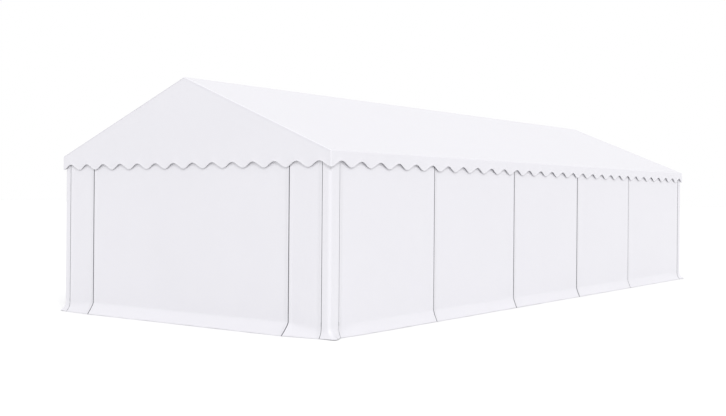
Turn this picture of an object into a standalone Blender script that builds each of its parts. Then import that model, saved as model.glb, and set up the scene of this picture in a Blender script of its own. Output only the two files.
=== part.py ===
"""Closed gable storage tent: a steel tube frame under a taut skin of coated fabric.

Metres, +Z up. The origin is at ground level under the middle of the tent. +Y runs along the
ridge, with the front gable at -Y, and +X is to the right of the front gable.
"""

import math

import bmesh
import bpy
from mathutils import Matrix, Vector

# Driving dimensions of the tent, outside the walls
WIDTH = 4.0
EAVE_HEIGHT = 1.84
RIDGE_HEIGHT = 2.67

# Bays from the front to the rear. The last one is the longest.
BAY_LENGTHS = (1.9, 1.9, 1.9, 1.9, 2.4)

# Fabric skin. The roof skin stands a little outside the walls, all round.
SHEET = 0.004
SKIN_OFFSET = 0.020
WALL_TOP = 1.82
GAP = 0.0003

# Scalloped valance, measured down from the eave fold
NOTCH_DROP = 0.100
SCALLOP_DEPTH = 0.062
LOBE_FULLNESS = 0.8
GABLE_LOBES = 14
SIDE_LOBES = 30
POINTS_PER_LOBE = 8

# Ground flap: the foot of each wall turns outwards and lies towards the ground
FLAP_HEIGHT = 0.12
SIDE_FLARE = 0.05
GABLE_FLARE = 0.09
STRIP_FLARE = 0.045
CORNER_GABLE_FLARE = 0.035
FOOT_CLEARANCE = 0.0008

# Gable wall: corner strip, narrow panel, wide door, narrow panel, corner strip
CORNER_LEG_GABLE = 0.10
CORNER_LEG_SIDE = 0.15
DOOR_EDGE = 0.52
CORNER_STEPS = 6

# Steel frame
POST_RADIUS = 0.030
RAFTER_RADIUS = 0.025
PURLIN_RADIUS = 0.019
TUBE_SIDES = 16
SMOOTH_BELOW = math.radians(40)
PLATE_SIZE = 0.13
PLATE_THICKNESS = 0.006
PLATE_SHIFT = 0.03
STUB_FOOT = 1.60
BEND_RADIUS = 0.06
BEND_STEPS = 4
EAVE_RAIL_HEIGHT = 1.72
GABLE_BEAM_HEIGHT = 1.66
EAVE_RAIL_END = 4.985
RIDGE_POLE_END = 5.005

# Sizes worked out from the ones above
BAYS = len(BAY_LENGTHS)
HALF_WIDTH = WIDTH / 2
HALF_LENGTH = sum(BAY_LENGTHS) / 2
JOINTS = [sum(BAY_LENGTHS[:number]) - HALF_LENGTH for number in range(BAYS + 1)]
HALF_SPAN = HALF_WIDTH + SKIN_OFFSET
HALF_REACH = HALF_LENGTH + SKIN_OFFSET
SLOPE = (RIDGE_HEIGHT - EAVE_HEIGHT) / HALF_SPAN
PITCH = math.atan(SLOPE)
POST_X = HALF_WIDTH - SHEET - GAP - POST_RADIUS
POST_Y = HALF_LENGTH - SHEET - GAP - POST_RADIUS
CORNER_RADIUS = POST_RADIUS + GAP + SHEET

# Where each wall looks, as a quarter turn about Z, and its distance and half length
WALLS = {
    "front": (0, HALF_LENGTH, HALF_WIDTH),
    "right": (1, HALF_WIDTH, HALF_LENGTH),
    "rear": (2, HALF_LENGTH, HALF_WIDTH),
    "left": (3, HALF_WIDTH, HALF_LENGTH),
}

# Finishes: colour (linear), roughness, metallic
FINISHES = {
    "roof_sheet": ((0.90, 0.90, 0.93), 0.45, 0.0),
    "wall_sheet": ((0.85, 0.85, 0.89), 0.50, 0.0),
    "frame_steel": ((0.55, 0.56, 0.57), 0.40, 0.9),
}


def clear_scene():
    """Remove whatever the file holds, so that each run starts from nothing."""
    for item in list(bpy.data.objects):
        bpy.data.objects.remove(item, do_unlink=True)
    for group in list(bpy.data.collections):
        bpy.data.collections.remove(group)


def new_collection(name):
    """Make a collection in the scene."""
    group = bpy.data.collections.new(name)
    bpy.context.scene.collection.children.link(group)
    return group


def coat(part, finish):
    """Give a piece its own material in one of the tent's finishes."""
    colour, roughness, metallic = FINISHES[finish]
    material = bpy.data.materials.new(f"{part.name}_{finish}")
    material.use_nodes = True
    shader = material.node_tree.nodes["Principled BSDF"]
    shader.inputs["Base Color"].default_value = (*colour, 1.0)
    shader.inputs["Roughness"].default_value = roughness
    shader.inputs["Metallic"].default_value = metallic
    part.data.materials.append(material)


def place_part(name, data, group, finish, location=(0, 0, 0), turn=(0, 0, 0)):
    """Put a mesh or a curve into the tent as a named piece."""
    part = bpy.data.objects.new(name, data)
    part.location = location
    part.rotation_euler = turn
    group.objects.link(part)
    coat(part, finish)
    return part


def cut_flat(name, outline, thickness, group, finish, location, turn):
    """Cut a piece from flat stock: a closed outline with a thickness about its own plane."""
    curve = bpy.data.curves.new(name, "CURVE")
    curve.dimensions = "2D"
    curve.fill_mode = "BOTH"
    curve.extrude = thickness / 2
    spline = curve.splines.new("POLY")
    spline.points.add(len(outline) - 1)
    for point, (across, up) in zip(spline.points, outline):
        point.co = (across, up, 0, 1)
    spline.use_cyclic_u = True
    return place_part(name, curve, group, finish, location, turn)


def bend_tube(name, route, radius, group, finish):
    """Run a round tube with closed ends through the points of its route."""
    curve = bpy.data.curves.new(name, "CURVE")
    curve.dimensions = "3D"
    curve.bevel_depth = radius
    curve.bevel_resolution = (TUBE_SIDES - 4) // 2
    curve.use_fill_caps = True
    spline = curve.splines.new("POLY")
    spline.points.add(len(route) - 1)
    for point, place in zip(spline.points, route):
        point.co = (*place, 1)
    return place_part(name, curve, group, finish)


def hang_sheet(name, rows, wall, group, finish):
    """Bend a flat grid into a hung sheet, and give it its thickness on the inner side.

    rows holds the sheet's rows from the foot up, each a list of (along, out, up) in the
    wall's own directions.
    """
    quarter, _, _ = WALLS[wall]
    columns = len(rows[0]) - 1
    lifts = len(rows) - 1
    sheet = bmesh.new()
    bmesh.ops.create_grid(sheet, x_segments=columns, y_segments=lifts, size=0.5)
    for vertex in sheet.verts:
        column = round((vertex.co.x + 0.5) * columns)
        row = round((vertex.co.y + 0.5) * lifts)
        along, out, up = rows[row][column]
        vertex.co = Vector((along, -out, up))
    mesh = bpy.data.meshes.new(name)
    sheet.to_mesh(mesh)
    sheet.free()
    part = place_part(name, mesh, group, finish, turn=(0, 0, quarter * math.pi / 2))
    shell = part.modifiers.new("sheet_thickness", "SOLIDIFY")
    shell.thickness = SHEET
    shell.offset = -1
    shell.use_even_offset = True
    return part


def foot_height(flare):
    """Height of the outer foot edge that sets the flap's inner edge on the ground."""
    lean = math.atan2(flare, FLAP_HEIGHT)
    return SHEET * math.sin(lean) + FOOT_CLEARANCE


def wall_panel(name, wall, start, end, flares, group):
    """Hang one wall panel between two places along its wall, with its flap's reach at each."""
    _, distance, _ = WALLS[wall]
    ends = (start + GAP / 2, end - GAP / 2)
    foot = [(along, distance + flare, foot_height(flare)) for along, flare in zip(ends, flares)]
    kink = [(along, distance, FLAP_HEIGHT) for along in ends]
    top = [(along, distance, WALL_TOP) for along in ends]
    hang_sheet(name, [foot, kink, top], wall, group, "wall_sheet")


def side_walls(group):
    """Hang five panels on each long wall, joined at the posts."""
    reach = HALF_LENGTH - CORNER_LEG_SIDE
    flares = (SIDE_FLARE, SIDE_FLARE)
    for number in range(1, BAYS + 1):
        front = max(-reach, JOINTS[number - 1])
        rear = min(reach, JOINTS[number])
        wall_panel(f"side_wall_right_{number}", "right", front, rear, flares, group)
        wall_panel(f"side_wall_left_{number}", "left", -rear, -front, flares, group)


def gable_walls(group):
    """Hang the door and the narrow panel on each side of it, at the front and the rear."""
    strip = HALF_WIDTH - CORNER_LEG_GABLE
    edge = HALF_WIDTH - DOOR_EDGE
    for wall, sides in (("front", ("left", "right")), ("rear", ("right", "left"))):
        rising = (STRIP_FLARE, GABLE_FLARE)
        wall_panel(f"{wall}_wall_{sides[0]}", wall, -strip, -edge, rising, group)
        wall_panel(f"{wall}_door", wall, -edge, edge, (GABLE_FLARE, GABLE_FLARE), group)
        wall_panel(f"{wall}_wall_{sides[1]}", wall, edge, strip, rising[::-1], group)


def corner_row(wall, first, second, flares, up):
    """One level of a corner cover: a straight leg, a quarter round and a straight leg."""
    _, distance, half = WALLS[wall]
    along_centre = half - CORNER_RADIUS
    out_centre = distance - CORNER_RADIUS
    row = [(half - first, distance + flares[0], up)]
    for step in range(CORNER_STEPS + 1):
        turn = math.pi / 2 * step / CORNER_STEPS
        along = along_centre + (CORNER_RADIUS + flares[1]) * math.sin(turn)
        out = out_centre + (CORNER_RADIUS + flares[0]) * math.cos(turn)
        row.append((along, out, up))
    row.append((half + flares[1], distance - second, up))
    return row


def corner_covers(group):
    """Wrap a rounded cover round each corner post."""
    gable = (CORNER_LEG_GABLE - GAP / 2, CORNER_GABLE_FLARE)
    side = (CORNER_LEG_SIDE - GAP / 2, SIDE_FLARE)
    corners = (
        ("corner_cover_front_right", "front", gable, side),
        ("corner_cover_rear_right", "right", side, gable),
        ("corner_cover_rear_left", "rear", gable, side),
        ("corner_cover_front_left", "left", side, gable),
    )
    for name, wall, first, second in corners:
        legs = (first[0], second[0])
        flares = (first[1], second[1])
        rows = [
            corner_row(wall, *legs, flares, foot_height(max(flares))),
            corner_row(wall, *legs, (0, 0), FLAP_HEIGHT),
            corner_row(wall, *legs, (0, 0), WALL_TOP),
        ]
        hang_sheet(name, rows, wall, group, "wall_sheet")


def roof_line(across, depth):
    """Height of a line that lies a given depth under the outside of the roof."""
    return RIDGE_HEIGHT - SLOPE * abs(across) - depth / math.cos(PITCH)


def roof_slopes(group):
    """Stretch one sheet over each slope, from the ridge to the eave."""
    for name, side in (("roof_right", 1), ("roof_left", -1)):
        stations = ((GAP / 2, 0), (HALF_SPAN, 0), (HALF_SPAN, SHEET), (GAP / 2, SHEET))
        outline = [(side * across, roof_line(across, depth)) for across, depth in stations]
        cut_flat(name, outline, 2 * HALF_REACH, group, "roof_sheet", (0, 0, 0), (math.pi / 2, 0, 0))


def scalloped_edge(half, lobes, trim):
    """Lower edge of a valance: rounded lobes, with one centred on each corner."""
    points = []
    steps = lobes * POINTS_PER_LOBE
    for step in range(steps + 1):
        along = half * (2 * step / steps - 1)
        swing = 0.5 + 0.5 * math.cos(2 * math.pi * step / POINTS_PER_LOBE)
        drop = NOTCH_DROP + SCALLOP_DEPTH * max(swing, 0) ** LOBE_FULLNESS
        points.append((max(-trim, min(trim, along)), EAVE_HEIGHT - drop))
    return points


def gable_sheets(group):
    """Hang the triangle of each gable with its scalloped edge below the eave."""
    depth = SHEET + GAP
    peak = [(across, roof_line(across, depth)) for across in (HALF_SPAN, 0, -HALF_SPAN)]
    outline = scalloped_edge(HALF_SPAN, GABLE_LOBES, HALF_SPAN) + peak
    middle = HALF_REACH - SHEET / 2
    for name, side in (("gable_front", -1), ("gable_rear", 1)):
        location = (0, side * middle, 0)
        cut_flat(name, outline, SHEET, group, "roof_sheet", location, (math.pi / 2, 0, 0))


def valances(group):
    """Hang the scalloped valance below each eave, between the gable sheets."""
    trim = HALF_REACH - SHEET - GAP
    top = roof_line(HALF_SPAN, SHEET + GAP)
    outline = scalloped_edge(HALF_REACH, SIDE_LOBES, trim) + [(trim, top), (-trim, top)]
    middle = HALF_SPAN - SHEET / 2
    for name, side in (("valance_right", 1), ("valance_left", -1)):
        location = (side * middle, 0, 0)
        turn = (math.pi / 2, 0, math.pi / 2)
        cut_flat(name, outline, SHEET, group, "roof_sheet", location, turn)


def frame_line(number):
    """Place of a frame along the tent: one at each end and one at each joint of the walls."""
    return max(-POST_Y, min(POST_Y, JOINTS[number]))


def posts(group, cutters):
    """Stand a round post on a square foot plate at each joint of the long walls."""
    for side, hand in (("right", 1), ("left", -1)):
        for number in range(BAYS + 1):
            name = f"post_{side}_{number + 1}"
            foot = PLATE_THICKNESS / 2
            height = STUB_FOOT - GAP - foot
            along = frame_line(number)
            bpy.ops.mesh.primitive_cylinder_add(
                vertices=TUBE_SIDES,
                radius=POST_RADIUS,
                depth=height,
                location=(hand * POST_X, along, foot + height / 2),
            )
            post = bpy.context.object
            post.name = name
            post.data.shade_smooth()
            post.data.set_sharp_from_angle(angle=SMOOTH_BELOW)
            coat(post, "frame_steel")
            end = {0: 1, BAYS: -1}.get(number, 0)
            bpy.ops.mesh.primitive_cube_add(
                size=1,
                location=(hand * (POST_X - PLATE_SHIFT), along + end * PLATE_SHIFT, foot),
            )
            plate = bpy.context.object
            plate.name = f"{name}_plate"
            plate.data.transform(Matrix.Diagonal((PLATE_SIZE, PLATE_SIZE, PLATE_THICKNESS, 1)))
            plate.hide_render = True
            plate.display_type = "WIRE"
            weld = post.modifiers.new("foot_plate", "BOOLEAN")
            weld.operation = "UNION"
            weld.object = plate
            for part, owner in ((post, group), (plate, cutters)):
                for former in list(part.users_collection):
                    former.objects.unlink(part)
                owner.objects.link(part)


def eave_bend(hand):
    """Points of the bend between a rafter and the stub that stands on its post."""
    corner_height = roof_line(POST_X, SHEET + GAP + RAFTER_RADIUS)
    sweep = math.pi / 2 - PITCH
    tangent = BEND_RADIUS * math.tan(sweep / 2)
    centre = (POST_X - BEND_RADIUS, corner_height - tangent)
    points = []
    for step in range(BEND_STEPS + 1):
        turn = sweep * step / BEND_STEPS
        across = centre[0] + BEND_RADIUS * math.cos(turn)
        up = centre[1] + BEND_RADIUS * math.sin(turn)
        points.append((hand * across, up))
    return points


def rafters(group):
    """Bend one pair of rafters for each frame, with a stub at each end that stands on a post."""
    apex = [(0, roof_line(0, SHEET + GAP + RAFTER_RADIUS))]
    right = [(POST_X, STUB_FOOT)] + eave_bend(1)
    left = [(-POST_X, STUB_FOOT)] + eave_bend(-1)
    profile = right + apex + left[::-1]
    for number in range(BAYS + 1):
        along = frame_line(number)
        route = [(across, along, up) for across, up in profile]
        bend_tube(f"rafters_{number + 1}", route, RAFTER_RADIUS, group, "frame_steel")


def purlins(group):
    """Lay the ridge pole under the rafters, and an eave rail inside each row of posts.

    A bent tube is a little flatter at its sharp bend, so the ridge pole sits that much higher.
    """
    rest = RAFTER_RADIUS + PURLIN_RADIUS + GAP
    apex = roof_line(0, SHEET + GAP + RAFTER_RADIUS)
    ridge = apex - (RAFTER_RADIUS * math.cos(PITCH) + PURLIN_RADIUS + GAP) / math.cos(PITCH)
    route = [(0, -RIDGE_POLE_END, ridge), (0, RIDGE_POLE_END, ridge)]
    bend_tube("ridge_pole", route, PURLIN_RADIUS, group, "frame_steel")
    for side, hand in (("right", 1), ("left", -1)):
        across = hand * (POST_X - rest)
        route = [(across, y, EAVE_RAIL_HEIGHT) for y in (-EAVE_RAIL_END, EAVE_RAIL_END)]
        bend_tube(f"eave_rail_{side}", route, PURLIN_RADIUS, group, "frame_steel")


def gable_beams(group):
    """Run a beam behind each gable wall, from corner to corner, to carry the door."""
    along = HALF_LENGTH - SHEET - GAP - PURLIN_RADIUS
    reach = POST_X - RAFTER_RADIUS - GAP
    for name, side in (("front_beam", -1), ("rear_beam", 1)):
        route = [(across, side * along, GABLE_BEAM_HEIGHT) for across in (-reach, reach)]
        bend_tube(name, route, PURLIN_RADIUS, group, "frame_steel")


def main():
    """Build the tent, frame first and skin over it."""
    clear_scene()
    tent = new_collection("storage_tent")
    cutters = new_collection("storage_tent_cutters")
    posts(tent, cutters)
    rafters(tent)
    purlins(tent)
    gable_beams(tent)
    side_walls(tent)
    gable_walls(tent)
    corner_covers(tent)
    roof_slopes(tent)
    gable_sheets(tent)
    valances(tent)


main()
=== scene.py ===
"""Dresses the storage tent: its coated fabric cover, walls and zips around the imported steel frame.

Metres, +Z up. The origin is on the ground under the middle of the tent. +Y runs along the ridge,
with the front gable at -Y, and +X is to the right of the front gable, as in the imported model.
"""

import logging
import math
from dataclasses import dataclass
from enum import Enum

import bpy
import numpy as np
from mathutils import Matrix, Vector


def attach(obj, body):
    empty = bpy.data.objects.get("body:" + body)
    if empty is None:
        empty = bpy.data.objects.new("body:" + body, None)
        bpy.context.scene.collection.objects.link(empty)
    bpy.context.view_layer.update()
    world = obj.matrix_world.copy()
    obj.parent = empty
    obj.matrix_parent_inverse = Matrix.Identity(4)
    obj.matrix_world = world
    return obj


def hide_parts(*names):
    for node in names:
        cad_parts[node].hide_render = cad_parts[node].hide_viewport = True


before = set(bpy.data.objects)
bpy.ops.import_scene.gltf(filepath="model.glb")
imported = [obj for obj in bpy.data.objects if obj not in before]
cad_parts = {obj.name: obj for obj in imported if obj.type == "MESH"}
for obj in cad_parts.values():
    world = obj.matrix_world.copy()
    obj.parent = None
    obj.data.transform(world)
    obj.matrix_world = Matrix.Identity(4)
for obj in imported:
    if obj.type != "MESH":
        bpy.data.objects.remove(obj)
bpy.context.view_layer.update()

LOG = logging.getLogger("tent")
BODY = "root"
# An edge that turns by more than this stays crisp.
CRISP_ANGLE = math.radians(50)


@dataclass(frozen=True)
class Sizes:
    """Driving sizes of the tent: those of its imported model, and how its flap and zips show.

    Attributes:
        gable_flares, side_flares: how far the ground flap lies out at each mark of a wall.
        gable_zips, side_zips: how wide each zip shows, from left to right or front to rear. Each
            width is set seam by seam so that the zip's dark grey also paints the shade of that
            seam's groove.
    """

    half_width: float = 2.0
    half_length: float = 5.0
    skin: float = 0.020
    eave: float = 1.84
    ridge: float = 2.67
    wall_top: float = 1.82
    joints: tuple[float, ...] = (-3.1, -1.2, 0.7, 2.6)
    notch_drop: float = 0.100
    scallop_depth: float = 0.062
    frames: tuple[float, ...] = (-4.9657, -3.1, -1.2, 0.7, 2.6, 4.9657)
    gable_lobes: int = 14
    side_lobes: int = 30
    flap_height: float = 0.12
    flap_blend: float = 0.01
    gable_flares: tuple[float, ...] = (0.06, 0.085, 0.11, 0.038)
    side_flares: tuple[float, ...] = (0.03, 0.05, 0.05, 0.05)
    gable_zips: tuple[float, ...] = (0.009, 0.0152, 0.0126, 0.0078)
    side_zips: tuple[float, ...] = (0.007, 0.014, 0.019, 0.024, 0.0155, 0.0205)
    corner_leg_gable: float = 0.10
    corner_leg_side: float = 0.15
    door_edge: float = 0.52
    corner_radius: float = 0.0343
    post_line: float = 1.9657
    post_radius: float = 0.030
    rafter_radius: float = 0.025
    purlin_radius: float = 0.019
    stub_foot: float = 1.60
    plate_thickness: float = 0.006
    plate_shift: float = 0.03
    ridge_pole_height: float = 2.5925
    eave_rail_line: float = 1.9214
    eave_rail_height: float = 1.72
    beam_line: float = 4.9767
    beam_height: float = 1.66

    @property
    def half_span(self) -> float:
        """Half the width of the roof cover."""
        return self.half_width + self.skin

    @property
    def half_reach(self) -> float:
        """Half the length of the roof cover."""
        return self.half_length + self.skin

    @property
    def pitch(self) -> float:
        """Angle of the roof slopes."""
        return math.atan2(self.ridge - self.eave, self.half_span)

    def scallop(self, along: np.ndarray, half: float, lobes: int) -> np.ndarray:
        """Height of the valance's lower edge: rounded lobes, with one centred on each corner.

        The edge swings as a raised cosine, which rounds the notches as much as the lobes.

        Args:
            along: places along the valance.
            half: half the valance's length.
            lobes: how many lobes fill that length.

        Returns:
            The height of the edge at each place.
        """
        turn = 2 * np.pi * lobes * (along + half) / (2 * half)
        return self.eave - self.notch_drop - self.scallop_depth * (0.5 + 0.5 * np.cos(turn))


SIZES = Sizes()
# The powers that bend the ground flap at the marks of a wall.
FLAP_CURVES = (3.0, 1.3, 1.3, 3.0)


def flap_share(up: np.ndarray, power: np.ndarray | float) -> np.ndarray:
    """Share of the flap's reach at a height: a power of the height left to the flap's bend."""
    return np.clip(1 - up / (SIZES.flap_height + SIZES.flap_blend), 0, 1) ** power


@dataclass(frozen=True)
class Seam:
    """A closed zip between two wall panels: its place along the wall and the width it shows."""

    along: float
    width: float


class Wall(Enum):
    """A wall: its quarter turn about Z, its distance from the middle and its half length.

    Left and right along a wall are those of someone who looks at it from outside.
    """

    FRONT = (0, SIZES.half_length, SIZES.half_width)
    RIGHT = (1, SIZES.half_width, SIZES.half_length)
    REAR = (2, SIZES.half_length, SIZES.half_width)
    LEFT = (3, SIZES.half_width, SIZES.half_length)

    @property
    def side(self) -> str:
        """The side that the wall is on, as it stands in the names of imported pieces."""
        return self.name.lower()

    @property
    def distance(self) -> float:
        """How far the wall's outer face is from the middle of the tent."""
        return self.value[1]

    @property
    def half(self) -> float:
        """Half the wall's length."""
        return self.value[2]

    @property
    def is_gable(self) -> bool:
        """Whether the wall is at an end of the tent."""
        return self in (Wall.FRONT, Wall.REAR)

    def place(self, along: np.ndarray, out: np.ndarray, up: np.ndarray) -> np.ndarray:
        """Turn places in the wall's own directions into places in the tent.

        Args:
            along: distance along the wall, to the right for someone who looks at it.
            out: distance outwards from the middle of the tent.
            up: height.

        Returns:
            The places, with x, y and z in the last axis.
        """
        cos, sin = ((1, 0), (0, 1), (-1, 0), (0, -1))[self.value[0]]
        along, out, up = np.broadcast_arrays(along, out, up)
        return np.stack([along * cos + out * sin, along * sin - out * cos, up], axis=-1)

    @property
    def following(self) -> "Wall":
        """The next wall to the right, round the corner."""
        return list(Wall)[(self.value[0] + 1) % len(Wall)]

    @property
    def leg(self) -> float:
        """How far the corner covers reach along the wall."""
        return SIZES.corner_leg_gable if self.is_gable else SIZES.corner_leg_side

    @property
    def zips(self) -> tuple[float, ...]:
        """How wide each zip shows between its panels' hems, from left to right."""
        widths = SIZES.gable_zips if self.is_gable else SIZES.side_zips
        return widths[::-1] if self is Wall.LEFT else widths

    @property
    def marks(self) -> tuple[float, ...]:
        """Places along the wall, from left to right, at which the lie of its flap is given."""
        corner, door = self.half - self.leg, self.half - SIZES.door_edge
        return (-corner, -door, door, corner)

    @property
    def seams(self) -> list[Seam]:
        """The wall's seams: one at each side of each panel.

        Returns:
            The seams, from left to right.
        """
        left, *doors, right = self.marks
        joints = SIZES.joints if self is Wall.RIGHT else [-place for place in SIZES.joints[::-1]]
        places = (left, *(doors if self.is_gable else joints), right)
        return [Seam(place, width) for place, width in zip(places, self.zips)]

    @property
    def panels(self) -> list[str]:
        """Names of the wall's packed panels.

        Returns:
            The names, from left to right.
        """
        if self.is_gable:
            ends = ("left", "right") if self is Wall.FRONT else ("right", "left")
            parts = (f"wall_{ends[0]}", "door", f"wall_{ends[1]}")
            return [f"{self.side}_{part}" for part in parts]
        numbers = range(1, len(SIZES.joints) + 2)
        order = numbers if self is Wall.RIGHT else reversed(numbers)
        return [f"side_wall_{self.side}_{number}" for number in order]

    @property
    def carrier(self) -> str:
        """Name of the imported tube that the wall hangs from."""
        return f"{self.side}_beam" if self.is_gable else f"eave_rail_{self.side}"

    def reach(self, along: np.ndarray | float) -> np.ndarray:
        """How far the ground flap lies out at the ground: straight runs between the marks."""
        flares = SIZES.gable_flares if self.is_gable else SIZES.side_flares
        return np.interp(along, self.marks, flares[::-1] if self is Wall.LEFT else flares)

    def curve(self, along: np.ndarray | float) -> np.ndarray:
        """The power that bends the flap, which is higher next to corners: it turns late there."""
        return np.interp(along, self.marks, FLAP_CURVES)

    def flare(self, along: np.ndarray, up: np.ndarray) -> np.ndarray:
        """How far the ground flap reaches outwards at a height."""
        return self.reach(along) * flap_share(up, self.curve(along))


@dataclass(frozen=True)
class Ripples:
    """Faint unevenness of a hung sheet: a few long waves with seeded directions.

    Attributes:
        seed: which set of waves.
        height: how far the surface moves at most.
        longest: length of the longest wave.
        count: how many waves are added up.
        shortening: by what share of the longest each next one's rate goes up.
        spread: how far, as an angle, they run from the sheet's width.
        crest: how high their sum gets when the longest has a height of one.
    """

    seed: int
    height: float
    longest: float
    count: int = 7
    shortening: float = 0.45
    spread: float = 0.9
    crest: float = 1.8

    def at(self, along: np.ndarray, up: np.ndarray) -> np.ndarray:
        """Add up sine waves, each shorter than the last, and scale the sum to the height.

        Args:
            along: places across the sheet.
            up: places up the sheet.

        Returns:
            How far the surface moves at each place.
        """
        draw = np.random.default_rng(self.seed)
        total = np.zeros(np.broadcast(along, up).shape)
        for number in range(self.count):
            length = self.longest / (1 + self.shortening * number)
            heading = draw.uniform(-self.spread, self.spread)
            start = draw.uniform(0, 2 * np.pi)
            run = along * math.cos(heading) + up * math.sin(heading)
            total = total + np.sin(2 * np.pi * run / length + start) / (1 + number)
        return self.height * total / self.crest


def seed_of(name: str) -> int:
    """A seed for a piece's ripples that depends only on the piece's name."""
    return sum(ord(letter) for letter in name)


def linear(code: str) -> tuple[float, float, float, float]:
    """Turn an sRGB hex colour into the linear colour that shaders take.

    Args:
        code: the colour, as a hash sign and six hex digits.

    Returns:
        Red, green and blue, and an opacity of one.
    """
    parts = [int(code[i : i + 2], 16) / 255 for i in (1, 3, 5)]
    red, green, blue = (c / 12.92 if c <= 0.04045 else ((c + 0.055) / 1.055) ** 2.4 for c in parts)
    return (red, green, blue, 1.0)


def fill_node(node: bpy.types.Node, settings: dict, links: dict) -> bpy.types.Node:
    """Give a node its values and links.

    Args:
        node: the node.
        settings: values by the name or number of an input, or by the name of a property.
        links: output sockets by the name or number of the input that they feed.

    Returns:
        The same node.
    """
    for key, value in settings.items():
        if isinstance(key, int) or key in node.inputs:
            node.inputs[key].default_value = value
        else:
            setattr(node, key, value)
    for key, source in links.items():
        node.id_data.links.new(source, node.inputs[key])
    return node


def add_node(tree: bpy.types.NodeTree, kind: str, settings: dict, links: dict) -> bpy.types.Node:
    """Add a node of a kind to a tree, with its values and links."""
    return fill_node(tree.nodes.new(kind), settings, links)


def new_material(name: str) -> tuple[bpy.types.Material, bpy.types.NodeTree, bpy.types.Node]:
    """Make an empty material with its Principled shader.

    Args:
        name: the material's name.

    Returns:
        The material, its node tree and its shader.
    """
    material = bpy.data.materials.new(name)
    material.use_nodes = True
    return material, material.node_tree, material.node_tree.nodes["Principled BSDF"]


def ribs(tree: bpy.types.NodeTree, axis: int, spacing: float) -> bpy.types.NodeSocket:
    """A sine wave over the flat cut, with one crest for each spacing along one of its axes.

    Args:
        tree: the material's node tree.
        axis: 0 across the cut, 1 up it.
        spacing: the distance from crest to crest.

    Returns:
        The socket that gives the wave, from minus one to one.
    """
    cut = add_node(tree, "ShaderNodeUVMap", {"uv_map": "flat"}, {})
    split = add_node(tree, "ShaderNodeSeparateXYZ", {}, {0: cut.outputs[0]})
    settings = {"operation": "MULTIPLY", 1: 2 * math.pi / spacing}
    phase = add_node(tree, "ShaderNodeMath", settings, {0: split.outputs[axis]})
    wave = add_node(tree, "ShaderNodeMath", {"operation": "SINE"}, {0: phase.outputs[0]})
    return wave.outputs[0]


@dataclass(frozen=True)
class CoatedPolyester:
    """Polyester weave between two layers of soft white vinyl, pressed and calendered.

    It gives the eye a clean, faintly bluish white with a broad soft sheen. Close by, the threads
    show through the coating as a fine square relief, and a row of stitches follows each hem.

    Attributes:
        stitch_line: how far inside the hem's edge the stitches run.
        thread_spacing: twice that of real threads, about 1 mm, so that a close view shows them.
    """

    name: str
    stitch_line: float
    colour: str = "#d7d6db"
    shaded: str = "#d4d3d8"
    thread: str = "#c4c3c8"
    roughness: tuple[float, float] = (0.38, 0.46)
    thread_spacing: float = 0.0022
    thread_relief: float = 0.00012
    stitch_length: float = 0.0045
    stitch_width: float = 0.0006
    stitch_share: float = 0.7
    stitch_sunk: float = 0.0004
    mottle_length: float = 0.9
    dent_length: float = 0.16
    dent_depth: float = 0.0006

    def material(self) -> bpy.types.Material:
        """Build the finish: mottled colour, stitches, thread relief and soft dents.

        Returns:
            The finished material.
        """
        material, tree, shader = new_material(self.name)
        place = add_node(tree, "ShaderNodeTexCoord", {}, {})
        at = {"Vector": place.outputs["Object"]}
        settings = {"Scale": 1 / self.mottle_length, "Detail": 3.0, "Roughness": 0.45}
        mottle = add_node(tree, "ShaderNodeTexNoise", settings, at).outputs["Fac"]
        tones = {"data_type": "RGBA", 6: linear(self.shaded), 7: linear(self.colour)}
        blend = add_node(tree, "ShaderNodeMix", tones, {0: mottle})
        stitch = self.stitches(tree)
        tones = {"data_type": "RGBA", 7: linear(self.thread)}
        sewn = add_node(tree, "ShaderNodeMix", tones, {0: stitch, 6: blend.outputs[2]})
        low, high = self.roughness
        gloss = add_node(tree, "ShaderNodeMapRange", {"To Min": low, "To Max": high}, {0: mottle})
        settings = {"Scale": 1 / self.dent_length, "Detail": 2.0}
        dents = add_node(tree, "ShaderNodeTexNoise", settings, at)
        # For each relief: its height map, its depth, and how strongly it shows.
        reliefs = (
            (dents.outputs["Fac"], self.dent_depth, 0.5),
            (self.weave(tree), self.thread_relief, 0.4),
            (stitch, -self.stitch_sunk, 0.6),
        )
        normal = {}
        for height, depth, strength in reliefs:
            settings = {"Strength": strength, "Distance": abs(depth), "invert": depth < 0}
            relief = add_node(tree, "ShaderNodeBump", settings, {"Height": height, **normal})
            normal = {"Normal": relief.outputs["Normal"]}
        links = {"Base Color": sewn.outputs[2], "Roughness": gloss.outputs["Result"], **normal}
        fill_node(shader, {"IOR": 1.52}, links)
        return material

    def weave(self, tree: bpy.types.NodeTree) -> bpy.types.NodeSocket:
        """Thread relief: the product of two sine waves over the flat cut, one for each way."""
        both = {axis: ribs(tree, axis, self.thread_spacing) for axis in (0, 1)}
        return add_node(tree, "ShaderNodeMath", {"operation": "MULTIPLY"}, both).outputs[0]

    def stitches(self, tree: bpy.types.NodeTree) -> bpy.types.NodeSocket:
        """One on a stitch and zero elsewhere: dashes at a set distance from the hem's edge.

        Args:
            tree: the material's node tree.

        Returns:
            The socket that gives the ones and zeros.
        """
        hem = add_node(tree, "ShaderNodeUVMap", {"uv_map": "hem"}, {})
        split = add_node(tree, "ShaderNodeSeparateXYZ", {}, {0: hem.outputs[0]})
        settings = {"operation": "COMPARE", 1: self.stitch_line, 2: self.stitch_width}
        row = add_node(tree, "ShaderNodeMath", settings, {0: split.outputs[0]})
        dash = split.outputs[1]
        steps = (
            {"operation": "MULTIPLY", 1: 1 / self.stitch_length},
            {"operation": "FRACT"},
            {"operation": "LESS_THAN", 1: self.stitch_share},
        )
        for settings in steps:
            dash = add_node(tree, "ShaderNodeMath", settings, {0: dash}).outputs[0]
        both = {0: row.outputs[0], 1: dash}
        return add_node(tree, "ShaderNodeMath", {"operation": "MULTIPLY"}, both).outputs[0]


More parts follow.
